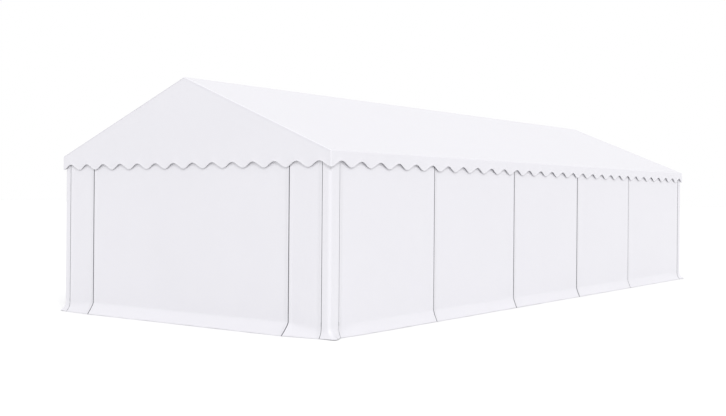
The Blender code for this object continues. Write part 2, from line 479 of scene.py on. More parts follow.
@dataclass(frozen=True)
class GrainedPlastic:
    """A plain moulded or woven plastic part in one colour with a fine grain.

    The zips' grey nylon reads as a thin dark line between the white panels: partly the zip's own
    grey, partly painted shade of each seam's groove.
    """

    name: str
    colour: str
    roughness: float
    grain: float = 0.0011
    relief: float = 0.0002

    def material(self) -> bpy.types.Material:
        """Build the finish: one colour, with a grain that breaks the gloss.

        Returns:
            The finished material.
        """
        material, tree, shader = new_material(self.name)
        place = add_node(tree, "ShaderNodeTexCoord", {}, {})
        at = {"Vector": place.outputs["Object"]}
        settings = {"Scale": 1 / self.grain, "Detail": 2.0}
        grain = add_node(tree, "ShaderNodeTexNoise", settings, at)
        settings = {"Strength": 0.3, "Distance": self.relief}
        relief = add_node(tree, "ShaderNodeBump", settings, {"Height": grain.outputs["Fac"]})
        settings = {"Base Color": linear(self.colour), "Roughness": self.roughness}
        fill_node(shader, settings, {"Normal": relief.outputs["Normal"]})
        return material


@dataclass(frozen=True)
class PolyesterWebbing:
    """Woven polyester strap: off-white, matt, with ribs that run across it every 3 mm."""

    name: str
    colour: str = "#d2d2d4"
    groove: str = "#a9a9ad"
    rib: float = 0.003
    rib_depth: float = 0.0004

    def material(self) -> bpy.types.Material:
        """Build the finish: ribs as a sine wave over the strap's length, with painted shade in the
        troughs.

        Returns:
            The finished material.
        """
        material, tree, shader = new_material(self.name)
        wave = ribs(tree, 1, self.rib)
        share = add_node(tree, "ShaderNodeMapRange", {"From Min": -1.0}, {0: wave})
        # Painted shade: the darker grey fills the troughs of the wave, where the bump is lowest.
        tones = {"data_type": "RGBA", 6: linear(self.groove), 7: linear(self.colour)}
        blend = add_node(tree, "ShaderNodeMix", tones, {0: share.outputs["Result"]})
        settings = {"Strength": 0.5, "Distance": self.rib_depth}
        relief = add_node(tree, "ShaderNodeBump", settings, {"Height": wave})
        links = {"Base Color": blend.outputs[2], "Normal": relief.outputs["Normal"]}
        fill_node(shader, {"Roughness": 0.8}, links)
        return material


@dataclass(frozen=True)
class GalvanisedSteel:
    """Steel dipped in zinc: pale grey metal with a cloudy crystal pattern of about 12 mm."""

    name: str
    bright: str = "#c3c6c9"
    dull: str = "#a2a6aa"
    crystal: float = 0.012
    roughness: tuple[float, float] = (0.34, 0.52)
    cloud: float = 0.111

    def material(self) -> bpy.types.Material:
        """Build the finish: crystals with their own tone and gloss, under a cloudy bloom.

        Returns:
            The finished material.
        """
        material, tree, shader = new_material(self.name)
        place = add_node(tree, "ShaderNodeTexCoord", {}, {})
        at = {"Vector": place.outputs["Object"]}
        crystals = add_node(tree, "ShaderNodeTexVoronoi", {"Scale": 1 / self.crystal}, at)
        settings = {"Scale": 1 / self.cloud, "Detail": 4.0}
        bloom = add_node(tree, "ShaderNodeTexNoise", settings, at)
        tone = add_node(tree, "ShaderNodeSeparateXYZ", {}, {0: crystals.outputs["Color"]})
        both = {0: tone.outputs[0], 1: bloom.outputs["Fac"]}
        share = add_node(tree, "ShaderNodeMath", {"operation": "MULTIPLY"}, both)
        tones = {"data_type": "RGBA", 6: linear(self.dull), 7: linear(self.bright)}
        blend = add_node(tree, "ShaderNodeMix", tones, {0: share.outputs[0]})
        low, high = self.roughness
        settings = {"To Min": high, "To Max": low}
        gloss = add_node(tree, "ShaderNodeMapRange", settings, {"Value": tone.outputs[1]})
        links = {"Base Color": blend.outputs[2], "Roughness": gloss.outputs["Result"]}
        fill_node(shader, {"Metallic": 0.9}, links)
        return material


def graded(start: float, end: float, step: float, marks: tuple[float, ...] = ()) -> np.ndarray:
    """Stations from start to end about one step apart, with further ones at the marks.

    Args:
        start: the first station.
        end: the last station.
        step: the most that two stations may be apart.
        marks: places for further stations. Those outside the run are left out.

    Returns:
        The stations, in order.
    """
    count = max(1, math.ceil((end - start) / step))
    inside = [mark for mark in marks if start < mark < end]
    return np.unique(np.round(np.concatenate([np.linspace(start, end, count + 1), inside]), 6))


def beside(mark: float) -> tuple[float, float]:
    """Stations just before and just after a mark, for the step at a hem's inner edge."""
    return (mark - 0.001, mark + 0.001)


def band(distance: np.ndarray, width: float, soft: float = 0.0015) -> np.ndarray:
    """One inside a hem of this width from an edge, none beyond it, with a short ramp between."""
    return np.clip((width + soft / 2 - distance) / soft, 0, 1)


def run_along(first: np.ndarray, second: np.ndarray) -> np.ndarray:
    """How far along a line each of its points is, from their places in two directions."""
    return np.concatenate([[0], np.cumsum(np.hypot(np.diff(first), np.diff(second)))])


def grid_faces(rows: int, columns: int, first: int = 0) -> np.ndarray:
    """Four-sided faces of a grid of points, numbered row by row from the first index.

    Args:
        rows: how many rows of points the grid has.
        columns: how many points each row has.
        first: the number of the first point.

    Returns:
        The numbers of each face's four points.
    """
    index = first + np.arange(rows * columns).reshape(rows, columns)
    corners = (index[:-1, :-1], index[:-1, 1:], index[1:, 1:], index[1:, :-1])
    return np.stack(corners, axis=-1).reshape(-1, 4)


def surface_normals(points: np.ndarray) -> np.ndarray:
    """Unit normals of a grid of points: the cross product of its two directions.

    Args:
        points: the grid, in rows and columns.

    Returns:
        The normal at each point.
    """
    across = np.gradient(points, axis=1)
    upwards = np.gradient(points, axis=0)
    normals = np.cross(across, upwards)
    return normals / np.maximum(np.linalg.norm(normals, axis=-1, keepdims=True), 1e-12)


@dataclass
class Shape:
    """Points and faces.

    Each row of maps holds a point's place on the flat cut, its distance from the hem's edge and
    its run along that edge.
    """

    points: np.ndarray
    faces: np.ndarray
    maps: np.ndarray


def merged(shapes: list[Shape]) -> Shape:
    """Put shapes into one.

    Args:
        shapes: the shapes, in the order that their points take.

    Returns:
        The one shape.
    """
    firsts = np.cumsum([0] + [len(shape.points) for shape in shapes])
    return Shape(
        np.concatenate([shape.points for shape in shapes]),
        np.concatenate([shape.faces + first for shape, first in zip(shapes, firsts)]),
        np.concatenate([shape.maps for shape in shapes]),
    )


def unsewn(points: np.ndarray) -> np.ndarray:
    """Maps for a shape without a cut or hem: its points' places count for nothing."""
    return np.tile((0.0, 0.0, 1.0, 0.0), (len(points), 1))


def shell(outer: np.ndarray, thickness: np.ndarray | float, maps: tuple) -> Shape:
    """Close a sheet: its outer grid, the same grid moved inwards, and a rim between them.

    Args:
        outer: the outer points, in rows and columns, whose normals point outwards.
        thickness: the sheet's thickness, one number or one for each point.
        maps: the four numbers of the shape's maps, each of which fills the grid.

    Returns:
        The closed shape, whose faces point outwards.
    """
    rows, columns = outer.shape[:2]
    depth = np.broadcast_to(np.asarray(thickness, float), (rows, columns))[..., None]
    inner = outer - surface_normals(outer) * depth
    size = rows * columns
    index = np.arange(size).reshape(rows, columns)
    loop = np.concatenate([index[0, :-1], index[:-1, -1], index[-1, :0:-1], index[:0:-1, 0]])
    following = np.roll(loop, -1)
    rim = np.stack([loop + size, following + size, following, loop], axis=-1)
    back = grid_faces(rows, columns, size)[:, ::-1]
    faces = np.concatenate([grid_faces(rows, columns), back, rim])
    points = np.concatenate([outer.reshape(-1, 3), inner.reshape(-1, 3)])
    spread = np.stack([np.broadcast_to(one, (rows, columns)) for one in maps], axis=-1)
    return Shape(points, faces, np.concatenate([spread.reshape(-1, 4)] * 2))


def blocks(centres: np.ndarray, axes: np.ndarray, half: tuple[float, float, float]) -> Shape:
    """Many small blocks at once.

    Args:
        centres: the middle of each block.
        axes: three unit directions of each block, as rows of a 3 x 3 table.
        half: half of a block's size in each of its directions.

    Returns:
        The blocks as one shape.
    """
    signs = np.array([(x, y, z) for z in (-1, 1) for y in (-1, 1) for x in (-1, 1)], float)
    offsets = np.einsum("ks,nsd->nkd", signs * half, axes)
    points = (centres[:, None] + offsets).reshape(-1, 3)
    sides = [(0, 2, 3, 1), (4, 5, 7, 6), (0, 1, 5, 4), (2, 6, 7, 3), (0, 4, 6, 2), (1, 3, 7, 5)]
    faces = (np.array(sides) + 8 * np.arange(len(centres))[:, None, None]).reshape(-1, 4)
    return Shape(points, faces, unsewn(points))


def closed_tube(rings: np.ndarray, ends: np.ndarray) -> Shape:
    """Join rings of points into a tube, and draw each end together to one point.

    Args:
        rings: the rings' points, counterclockwise for someone who looks back from the last ring.
        ends: the two end points.

    Returns:
        The closed shape, whose faces point outwards.
    """
    count, sides = rings.shape[:2]
    index = np.arange(count * sides).reshape(count, sides)
    after = np.roll(index, -1, axis=1)
    walls = np.stack([index[:-1], after[:-1], after[1:], index[1:]], axis=-1).reshape(-1, 4)
    first = np.full(sides, count * sides)
    low = np.stack([after[0], index[0], first, first], axis=-1)
    high = np.stack([index[-1], after[-1], first + 1, first + 1], axis=-1)
    points = np.concatenate([rings.reshape(-1, 3), ends])
    return Shape(points, np.concatenate([walls, low, high]), unsewn(points))


def lathe(rim: list, sides: int, centre: tuple, axis: tuple) -> Shape:
    """Turn a rim about an axis, with a flat face at each end.

    Args:
        rim: the rim's points, in order, each as (distance along the axis, radius).
        sides: how many sides the turned shape has.
        centre: the place that the axis starts from.
        axis: the axis' direction.

    Returns:
        The closed shape.
    """
    table = np.array(rim, float)
    along = Vector(axis).normalized()
    side = along.orthogonal().normalized()
    angle = 2 * np.pi * np.arange(sides) / sides
    ring = np.outer(np.cos(angle), side) + np.outer(np.sin(angle), along.cross(side))
    rings = table[:, :1, None] * np.array(along) + table[:, 1:, None] * ring
    ends = np.outer(table[[0, -1], 0], along)
    return closed_tube(rings + np.array(centre), ends + np.array(centre))


def pebble(centre: np.ndarray, axes: np.ndarray, half: tuple) -> Shape:
    """A rounded block: a sphere whose sines and cosines are raised to a power below one.

    Args:
        centre: its middle.
        axes: its three unit directions, as rows.
        half: half its size in each of its directions.

    Returns:
        The closed shape.
    """
    sides, rows = 16, 11
    # The lower the power, the squarer the block.
    square = 0.45
    turn = 2 * np.pi * np.arange(sides) / sides
    climb = np.linspace(-np.pi / 2, np.pi / 2, rows)[1:-1, None]
    flat = [np.sign(wave) * np.abs(wave) ** square for wave in (np.cos(turn), np.sin(turn))]
    narrow = np.cos(climb) ** square
    height = np.sign(np.sin(climb)) * np.abs(np.sin(climb)) ** square
    parts = (half[0] * narrow * flat[0], half[1] * narrow * flat[1], half[2] * height)
    places = np.stack(np.broadcast_arrays(*parts), axis=-1)
    rings = np.einsum("rsk,kd->rsd", places, axes)
    ends = np.array([-half[2] * axes[2], half[2] * axes[2]])
    return closed_tube(rings + centre, ends + centre)


def add_object(name: str, data: bpy.types.ID) -> bpy.types.Object:
    """Put a mesh, a camera or a light into the scene.

    Args:
        name: the object's name.
        data: the mesh, camera or light.

    Returns:
        The new object.
    """
    thing = bpy.data.objects.new(name, data)
    bpy.context.scene.collection.objects.link(thing)
    return thing


def make_piece(
    name: str, shape: Shape, material: bpy.types.Material
) -> bpy.types.Object:
    """Put a shape into the scene as a named piece that rides on the tent.

    Args:
        name: the piece's name.
        shape: its points, faces and maps.
        material: its finish.

    Returns:
        The new object.
    """
    faces = [face[:3] if face[2] == face[3] else face for face in shape.faces.tolist()]
    mesh = bpy.data.meshes.new(name)
    mesh.from_pydata(shape.points.tolist(), [], faces)
    corners = np.zeros(len(mesh.loops), np.int32)
    mesh.loops.foreach_get("vertex_index", corners)
    for layer, columns in (("flat", (0, 1)), ("hem", (2, 3))):
        places = shape.maps[corners][:, columns]
        mesh.uv_layers.new(name=layer).data.foreach_set("uv", places.ravel())
    mesh.shade_smooth()
    mesh.set_sharp_from_angle(angle=CRISP_ANGLE)
    mesh.materials.append(material)
    piece = add_object(name, mesh)
    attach(piece, BODY)
    LOG.info("%s: %d faces", name, len(faces))
    return piece


@dataclass
class RoofCover:
    """The roof cover: two slopes that fold down into scalloped valances, and two gable sheets."""

    fabric: bpy.types.Material
    thickness: float = 0.0018
    fold: float = 0.014
    ridge_fold: float = 0.020
    edge_radius: float = 0.012
    edge_margin: float = 0.004
    lip_drop: float = 0.0015
    binding: float = 0.012
    binding_relief: float = 0.0009
    binding_ramp: float = 0.0015
    binding_margin: float = 0.006
    columns_per_lobe: int = 16
    round_steps: int = 9
    ridge_steps: int = 5
    slope_step: float = 0.07
    drop_rows: int = 9
    sag: float = 0.005
    sag_power: float = 0.7
    curl: float = 0.005
    turn_in: float = 1.9
    corner_calm: float = 0.06
    valance_wave: tuple[float, float] = (0.0018, 0.9)
    valance_seed: int = 11
    gable_rows: int = 25
    gable_inset: float = 0.0020
    gable_drop: float = 0.009
    gable_overlap: float = 0.8

    def build(self) -> None:
        """Make the four pieces of the cover."""
        for wall in (Wall.RIGHT, Wall.LEFT):
            self.half_cover(wall)
        for wall in (Wall.FRONT, Wall.REAR):
            self.gable(wall)

    def profile(self) -> tuple[np.ndarray, ...]:
        """The cover's cross-section from the eave fold to the ridge.

        An arc turns from the upright valance into the slope, a straight run climbs the slope, and
        a wider arc turns it level over the ridge.

        Returns:
            Distance out, height, and the outward normal's two parts, for each point.
        """
        pitch = SIZES.pitch
        turn = np.linspace(0, math.pi / 2 - pitch, self.round_steps)
        tangent = self.fold * math.tan((math.pi / 2 - pitch) / 2)
        fold_out = SIZES.half_span - self.fold + self.fold * np.cos(turn)
        fold_up = SIZES.eave - tangent + self.fold * np.sin(turn)
        reach = self.ridge_fold * math.sin(pitch)
        crest = SIZES.ridge - self.ridge_fold / math.cos(pitch)
        run = graded(reach, fold_out[-1], self.slope_step)[::-1][1:-1]
        lean = np.linspace(pitch, 0, self.ridge_steps)
        ridge_out = self.ridge_fold * np.sin(lean)
        ridge_up = crest + self.ridge_fold * np.cos(lean)
        slope_up = SIZES.ridge - run * math.tan(pitch)
        angle = np.concatenate([turn, np.full(len(run), math.pi / 2 - pitch), math.pi / 2 - lean])
        out = np.concatenate([fold_out, run, ridge_out])
        up = np.concatenate([fold_up, slope_up, ridge_up])
        return out, up, np.cos(angle), np.sin(angle)

    def lipped(self) -> tuple[np.ndarray, np.ndarray, np.ndarray]:
        """Columns of a slope, whose two ends turn down: a quarter round and a short drop.

        Returns:
            For each column: the place along the slope, how far it is moved inwards, and the place
            on a sheet laid flat, where the corner's line is at half the reach.
        """
        half, radius = SIZES.half_reach, self.edge_radius
        end = half - radius - self.edge_margin
        middle = np.linspace(-end, end, SIZES.side_lobes * self.columns_per_lobe + 1)
        turn = np.linspace(0, math.pi / 2, self.round_steps)
        along = np.append(half - radius * (1 - np.sin(turn)), half)
        inset = np.append(radius * (1 - np.cos(turn)), radius + self.lip_drop)
        flat = np.append(half + radius * (turn / (math.pi / 4) - 1), half + radius + self.lip_drop)
        along = np.concatenate([-along[::-1], middle, along])
        flat = np.concatenate([-flat[::-1], middle, flat])
        return along, np.concatenate([inset[::-1], np.zeros(len(middle)), inset]), flat

    def hem_line(self, flat: np.ndarray) -> np.ndarray:
        """Height of a slope's scalloped edge. Beyond the corner it goes on as the gable's does.

        Args:
            flat: places along the slope, on a sheet laid flat.

        Returns:
            The height of the edge at each place.
        """
        half = SIZES.half_reach
        beyond = np.maximum(np.abs(flat) - half, 0)
        side = SIZES.scallop(np.minimum(np.abs(flat), half), half, SIZES.side_lobes)
        gable = SIZES.scallop(SIZES.half_span - beyond, SIZES.half_span, SIZES.gable_lobes)
        return np.where(beyond > 0, gable, side)

    def edge_rows(self) -> np.ndarray:
        """Heights above a scalloped edge of the rows that carry its binding tape."""
        start, stop = self.binding - self.binding_ramp, self.binding + self.binding_margin
        return np.array([0.0, start, self.binding, stop])[:, None]

    def hanging(
        self, wall: Wall, along: np.ndarray, up: np.ndarray, edge: np.ndarray
    ) -> np.ndarray:
        """How far a hanging valance stands out from its plane.

        It grows as the square of the drop. The notches curl out, and the lobes turn in. It dies
        out towards the corners.

        Args:
            wall: the wall that the valance hangs above.
            along: places along the wall.
            up: heights.
            edge: height of the scalloped edge at each place along the wall.

        Returns:
            The distance outwards at each point.
        """
        half = SIZES.half_span if wall.is_gable else SIZES.half_reach
        free = np.clip((half - self.edge_radius - np.abs(along)) / self.corner_calm, 0, 1)
        drop = np.clip((SIZES.eave - up) / (SIZES.eave - edge), 0, 1)
        lobe = (SIZES.eave - SIZES.notch_drop - edge) / SIZES.scallop_depth
        waves = Ripples(self.valance_seed + wall.value[0], *self.valance_wave).at(along, up)
        return free * drop**2 * (self.curl * (1 - self.turn_in * lobe) + waves)

    def sunk(self, wall: Wall, along: np.ndarray, out: np.ndarray) -> np.ndarray:
        """How far a slope sinks between two frames: as half sine waves, squared along the tent.

        Args:
            wall: the wall that the slope is above.
            along: places along the wall.
            out: distances outwards from the ridge.

        Returns:
            The distance inwards at each point.
        """
        to_rear = along if wall is Wall.RIGHT else -along
        frames = np.array((-SIZES.half_length, *SIZES.joints, SIZES.half_length))
        bay = np.clip(np.searchsorted(frames, to_rear) - 1, 0, len(frames) - 2)
        share = np.clip((to_rear - frames[bay]) / (frames[bay + 1] - frames[bay]), 0, 1)
        slope = np.clip((SIZES.half_span - out) / SIZES.half_span, 0, 1)
        rise = np.abs(np.sin(np.pi * slope)) ** self.sag_power
        return self.sag * np.sin(np.pi * share) ** 2 * rise

    def half_cover(self, wall: Wall) -> None:
        """Make one slope with its valance, from the scalloped edge up to the ridge.

        Args:
            wall: the wall that the slope is above.
        """
        side = wall.side
        out, up, normal_out, normal_up = self.profile()
        along, inset, flat = self.lipped()
        edge = self.hem_line(flat)
        hem = edge + self.edge_rows()
        share = np.linspace(0, 1, self.drop_rows + 2)[1:-1, None]
        drop = np.concatenate([hem, hem[-1] + (up[0] - hem[-1]) * share])
        rows = len(drop)
        height = np.concatenate([drop, np.repeat(up[:, None], len(edge), axis=1)])
        reach = np.concatenate([np.full(rows, out[0]), out])[:, None]
        lean_out = np.concatenate([np.ones(rows), normal_out])[:, None]
        lean_up = np.concatenate([np.zeros(rows), normal_up])[:, None]
        raised = np.zeros_like(height)
        raised[:2] = self.binding_relief
        shift = raised - inset
        shift[:rows] += self.hanging(wall, along, drop, edge)
        shift[rows:] -= self.sunk(wall, along, out[:, None])
        points = wall.place(along, reach + lean_out * shift, height + lean_up * shift)
        run = run_along(out, up)
        travel = height - up[0]
        travel[rows:] = run[:, None]
        shape = shell(points, self.thickness + raised, (flat, travel, height - edge, flat))
        piece = make_piece(f"roof_cover_{side}", shape, self.fabric)
        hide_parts(f"roof_{side}", f"valance_{side}")

    def gable(self, wall: Wall) -> None:
        """Make a gable sheet: columns that rise from the scalloped edge to the roof slopes.

        It ends a little past where the slopes' round corners begin, just behind them.

        Args:
            wall: the wall that the gable is above.
        """
        side = wall.side
        half = SIZES.half_span - self.gable_overlap * self.edge_radius
        along = np.linspace(-half, half, SIZES.gable_lobes * self.columns_per_lobe + 1)
        edge = SIZES.scallop(along, SIZES.half_span, SIZES.gable_lobes)
        rake = SIZES.ridge - np.abs(along) * math.tan(SIZES.pitch) - self.gable_drop
        hem = edge + self.edge_rows()
        share = np.linspace(0, 1, self.gable_rows + 1)[1:, None]
        up = np.concatenate([hem, hem[-1] + (rake - hem[-1]) * share])
        raised = np.zeros_like(up)
        raised[:2] = self.binding_relief
        out = SIZES.half_reach - self.gable_inset + raised + self.hanging(wall, along, up, edge)
        points = wall.place(along, out, up)
        shape = shell(points, self.thickness + raised, (along, up, up - edge, along))
        piece = make_piece(f"gable_sheet_{side}", shape, self.fabric)
        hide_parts(f"gable_{side}")


@dataclass
class WallSet:
    """The four walls: panels with hems and a ground flap, the zips between them and their loops."""

    fabric: bpy.types.Material
    tape: bpy.types.Material
    teeth: bpy.types.Material
    webbing: bpy.types.Material
    thickness: float = 0.0016
    hem: float = 0.028
    hem_relief: float = 0.0008
    foot_hem: float = 0.018
    flap_rows: int = 13
    rows_above: float = 0.02
    foot_up: float = 0.0024
    foot_lift: float = 0.0022
    corner_lift: float = 0.006
    corner_step: float = 0.02
    round_steps: int = 15
    uneven_height: float = 0.06
    uneven_length: float = 0.9
    step: float = 0.06
    belly: float = 0.003
    long_wave: tuple[float, float] = (0.0022, 1.3)
    foot_wave: tuple[float, float] = (0.0025, 0.5)
    foot_wave_height: float = 0.5
    foot_wave_stretch: float = 0.2
    calm_top: float = 0.3
    calm_side: float = 0.18
    calm_power: float = 1.5
    tape_recess: float = 0.0027
    tape_margin: float = 0.007
    tape_thickness: float = 0.0008
    tape_columns: int = 5
    tooth_pitch: float = 0.0042
    tooth_half: tuple[float, float, float] = (0.0019, 0.0009, 0.0013)
    tooth_shift: float = 0.45
    tooth_out: float = 0.0006
    chain_margin: float = 0.006
    slider_height: float = 0.15
    strap_width: float = 0.030
    strap_thickness: float = 0.0010
    strap_gap: float = 0.0012
    strap_slack: float = 0.0003
    strap_spacing: float = 0.5
    strap_columns: int = 4

    def build(self) -> None:
        """Make every panel, corner cover, zip and loop."""
        for wall in Wall:
            self.wall(wall)
        self.corner_covers()

    def heights(self) -> np.ndarray:
        """Heights of a panel's rows: close together on the flap, and at the edge of the hem.

        Returns:
            The heights, from the foot up.
        """
        flap = np.linspace(self.foot_up, SIZES.flap_height + self.rows_above, self.flap_rows)
        rise = graded(flap[-1], SIZES.wall_top, self.step)
        return np.unique(np.concatenate([flap, beside(self.foot_hem), rise[1:]]))

    def lifted(self, seed: int, along: np.ndarray, more: np.ndarray | float = 0.0) -> np.ndarray:
        """Row heights whose lowest rows rise and fall a little along the wall, and by some more.

        Args:
            seed: which ripples the foot follows.
            along: places along the wall.
            more: how much more the foot rises at each of them.

        Returns:
            The height of each row at each place.
        """
        up = self.heights()[:, None]
        waves = Ripples(seed + 2, self.foot_lift, self.uneven_length).at(along, np.zeros(1))
        return up + (np.abs(waves) + more) * np.clip(1 - up / self.uneven_height, 0, 1)

    def hems(self, edge: np.ndarray, up: np.ndarray) -> np.ndarray:
        """How far a sheet's hems stand out: those along its sides and the one at its foot."""
        return np.maximum(band(edge, self.hem), band(up, self.foot_hem)) * self.hem_relief

    def wall(self, wall: Wall) -> None:
        """Make one wall's panels, with the zip at each seam and the loops of each panel.

        Args:
            wall: the wall.
        """
        seams = wall.seams
        zips = [self.zip(wall, seam, number) for number, seam in enumerate(seams, 1)]
        for number, name in enumerate(wall.panels):
            left, right = seams[number], seams[number + 1]
            start = left.along + left.width / 2
            end = right.along - right.width / 2
            going = [self.loops(name, wall, start, end), zips[number]]
            going += [zips[number + 1]] if number == len(seams) - 2 else []
            self.panel(name, wall, start, end)

    def panel(self, name: str, wall: Wall, start: float, end: float) -> None:
        """Make one panel.

        Its surface is the wall's plane, plus the flap's reach at that height, plus a slight belly
        and long ripples that die out at the hems.

        Args:
            name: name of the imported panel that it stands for.
            wall: the wall that it is part of.
            start: the place of its left edge along the wall.
            end: the place of its right edge.
        """
        marks = beside(start + self.hem) + beside(end - self.hem)
        along = graded(start, end, self.step, marks)
        seed = seed_of(name)
        up = self.lifted(seed, along)
        edge = np.minimum(along - start, end - along)
        top = np.clip((SIZES.wall_top - up) / self.calm_top, 0, 1)
        calm = np.clip(edge / self.calm_side, 0, 1) ** self.calm_power * top
        across = np.clip(edge / (end - start) * 2, 0, 1)
        low = np.clip(1 - up / self.foot_wave_height, 0, 1)
        flare = wall.flare(along, up)
        out = wall.distance + flare
        out = out + self.belly * np.sin(np.pi / 2 * across) * np.sin(np.pi * up / SIZES.wall_top)
        out = out + Ripples(seed, *self.long_wave).at(along, up) * calm
        folds = Ripples(seed + 1, *self.foot_wave).at(along, up * self.foot_wave_stretch)
        out = out + folds * calm * low**2
        raised = self.hems(edge, up)
        points = wall.place(along, out + raised, up)
        shape = shell(points, self.thickness + raised, (along, up - flare / 2, edge, up))
        piece = make_piece(f"{name}_fabric", shape, self.fabric)
        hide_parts(name)
        longest = SIZES.wall_top - SIZES.flap_height
        longest += math.hypot(SIZES.flap_height, float(flare.max()))

    def zip(self, wall: Wall, seam: Seam, number: int) -> bpy.types.Object:
        """Make the zip behind one seam: two tapes as one strip, two rows of teeth and a slider.

        Args:
            wall: the wall that it closes.
            seam: its seam.
            number: its number on that wall, from left to right.

        Returns:
            The zip's piece.
        """
        half = seam.width / 2 + self.tape_margin
        up = self.heights()[:, None]
        across = np.linspace(-half, half, self.tape_columns)
        at = np.array([seam.along])
        out = wall.distance - self.tape_recess + wall.flare(at, up)
        points = wall.place(seam.along + across, out, up)
        strip = shell(points, self.tape_thickness, (across, up, 1.0, up))
        shape = merged([strip, self.chain(wall, at), self.slider(wall, at)])
        # The grey of the tape and the teeth is partly the zip's own colour and partly painted shade
        # of the seam's groove.
        piece = make_piece(f"zip_{wall.side}_{number}", shape, self.tape)
        piece.data.materials.append(self.teeth)
        slots = np.zeros(len(piece.data.polygons), np.int32)
        slots[len(strip.faces) :] = 1
        piece.data.polygons.foreach_set("material_index", slots)
        return piece

    def chain(self, wall: Wall, at: np.ndarray) -> Shape:
        """The zip's teeth: small blocks in two rows, half a pitch apart from each other.

        Args:
            wall: the wall that the zip closes.
            at: its place along the wall.

        Returns:
            The teeth as one shape.
        """
        margin = self.chain_margin
        up = np.arange(self.foot_up + margin, SIZES.wall_top - margin, self.tooth_pitch / 2)
        side = np.where(np.arange(len(up)) % 2 == 0, -1.0, 1.0)
        reach = wall.flare(at, up)
        face = wall.distance - self.tape_recess + reach
        across = at + side * self.tooth_half[0] * self.tooth_shift
        centres = wall.place(across, face + self.tooth_out, up)
        slope = np.gradient(reach, up)
        length = np.hypot(slope, 1)
        rise = wall.place(0.0, slope / length, 1 / length)
        lean = wall.place(0.0, 1 / length, -slope / length)
        right = wall.place(np.ones_like(up), 0.0, 0.0)
        return blocks(centres, np.stack([right, lean, rise], axis=1), self.tooth_half)

    def slider(self, wall: Wall, at: np.ndarray) -> Shape:
        """The zip's slider above the flap, with the pull that hangs from it.

        Args:
            wall: the wall that the zip closes.
            at: its place along the wall.

        Returns:
            The slider and the pull as one shape.
        """
        axes = wall.place(*np.eye(3))
        face = wall.distance - self.tape_recess
        # For the slider and for its pull: the place out from the tape, the rise, half the size.
        parts = (
            (0.0020, 0.0, (0.0055, 0.0020, 0.0080)),
            (0.0045, -0.017, (0.0036, 0.0009, 0.0150)),
        )
        shapes = []
        for out, up, half in parts:
            middle = wall.place(at, face + out, self.slider_height + up)[0]
            shapes.append(pebble(middle, axes, half))
        return merged(shapes)

    def loops(self, name: str, wall: Wall, start: float, end: float) -> bpy.types.Object:
        """Make the straps that tie one panel to its tube.

        Each is sewn to the panel's inner face, passes over the tube, round its inner side and
        back. On the long walls, where the tube is further in, it ends on the panel again.

        Args:
            name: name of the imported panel.
            wall: the wall that it is part of.
            start: the place of its left edge along the wall.
            end: the place of its right edge.

        Returns:
            The straps' piece.
        """
        sewn = wall.distance - self.thickness - self.strap_gap
        radius = SIZES.purlin_radius + self.strap_slack + self.strap_thickness
        # A turn is the way round the tube in degrees. Tails are heights where a strap is sewn on.
        if wall.is_gable:
            middle = (SIZES.beam_line, SIZES.beam_height)
            turn = np.radians(np.linspace(70, 400, 23))
            tails = (np.array([1.75, 1.725, 1.70]), np.array([]))
        else:
            middle = (SIZES.eave_rail_line, SIZES.eave_rail_height)
            turn = np.radians(np.linspace(75, 285, 15))
            tails = (np.array([1.80, 1.785, 1.768]), np.array([1.672, 1.655, 1.64]))
        ends = [np.full(len(tail), sewn) for tail in tails]
        out = np.concatenate([ends[0], middle[0] + radius * np.cos(turn), ends[1]])
        up = np.concatenate([tails[0], middle[1] + radius * np.sin(turn), tails[1]])
        travel = run_along(out, up)
        count = max(1, round((end - start) / self.strap_spacing))
        places = start + (end - start) * (np.arange(count) + 0.5) / count
        across = np.linspace(-0.5, 0.5, self.strap_columns) * self.strap_width
        maps = (across, travel[:, None], 1.0, travel[:, None])
        routes = [wall.place(place + across, out[:, None], up[:, None]) for place in places]
        shape = merged([shell(route, self.strap_thickness, maps) for route in routes])
        return make_piece(f"{name}_loops", shape, self.webbing)

    def corner_covers(self) -> None:
        """Make the four rounded covers, each a straight leg, a quarter round and a straight leg."""
        # For each: the wall it starts on, how far its flap lies out from both walls, and its post.
        corners = (
            ("front_right", Wall.FRONT, (0.045, 0.12), "post_right_1"),
            ("rear_right", Wall.RIGHT, (0.085, 0.045), "post_right_6"),
            ("rear_left", Wall.REAR, (0.045, 0.085), "post_left_6"),
            ("front_left", Wall.LEFT, (0.06, 0.04), "post_left_1"),
        )
        for name, wall, reaches, post in corners:
            self.corner_cover(f"corner_cover_{name}", wall, reaches)

    def corner_cover(self, name: str, wall: Wall, reaches: tuple) -> None:
        """Make one corner cover. Its path turns from one wall's plane into the next one's.

        Down its flap, the quarter round is carried outwards as a whole. Each leg follows it: fully
        in the direction that the leg faces, and from nothing at its seam to fully at the round in
        the other direction. So the flap's corner stays as crisp as the round above it.

        Args:
            name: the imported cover's name.
            wall: the wall that the path starts on.
            reaches: how far the flap's corner lies out from each of the two walls.
        """
        radius = SIZES.corner_radius
        following = wall.following
        first = wall.leg - wall.zips[-1] / 2
        second = following.leg - following.zips[0] / 2
        leg_in = graded(0, first - radius, self.corner_step, beside(self.hem))
        leg_out = graded(0, second - radius, self.corner_step, beside(self.hem))
        turn = np.concatenate([
            np.zeros(len(leg_in) - 1),
            np.linspace(0, math.pi / 2, self.round_steps),
            np.full(len(leg_out) - 1, math.pi / 2),
        ])
        along = wall.half - radius + radius * np.sin(turn)
        out = wall.distance - radius + radius * np.cos(turn)
        along[: len(leg_in) - 1] = wall.half - first + leg_in[:-1]
        out[-(len(leg_out) - 1) :] = wall.distance - second + leg_out[:-1][::-1]
        travel = run_along(along, out)
        ends = (0, travel[-1])
        flares = (wall.reach(wall.half), following.reach(-following.half))
        powers = (wall.curve(wall.half), following.curve(-following.half))
        lift = self.corner_lift * np.sin(np.pi * travel / travel[-1])
        up = self.lifted(seed_of(name), travel, lift)
        share = flap_share(up, np.interp(travel, ends, powers))
        edge = np.minimum(travel, travel[-1] - travel)
        raised = self.hems(edge, up)
        arrive = np.clip(travel / (first - radius), 0, 1)
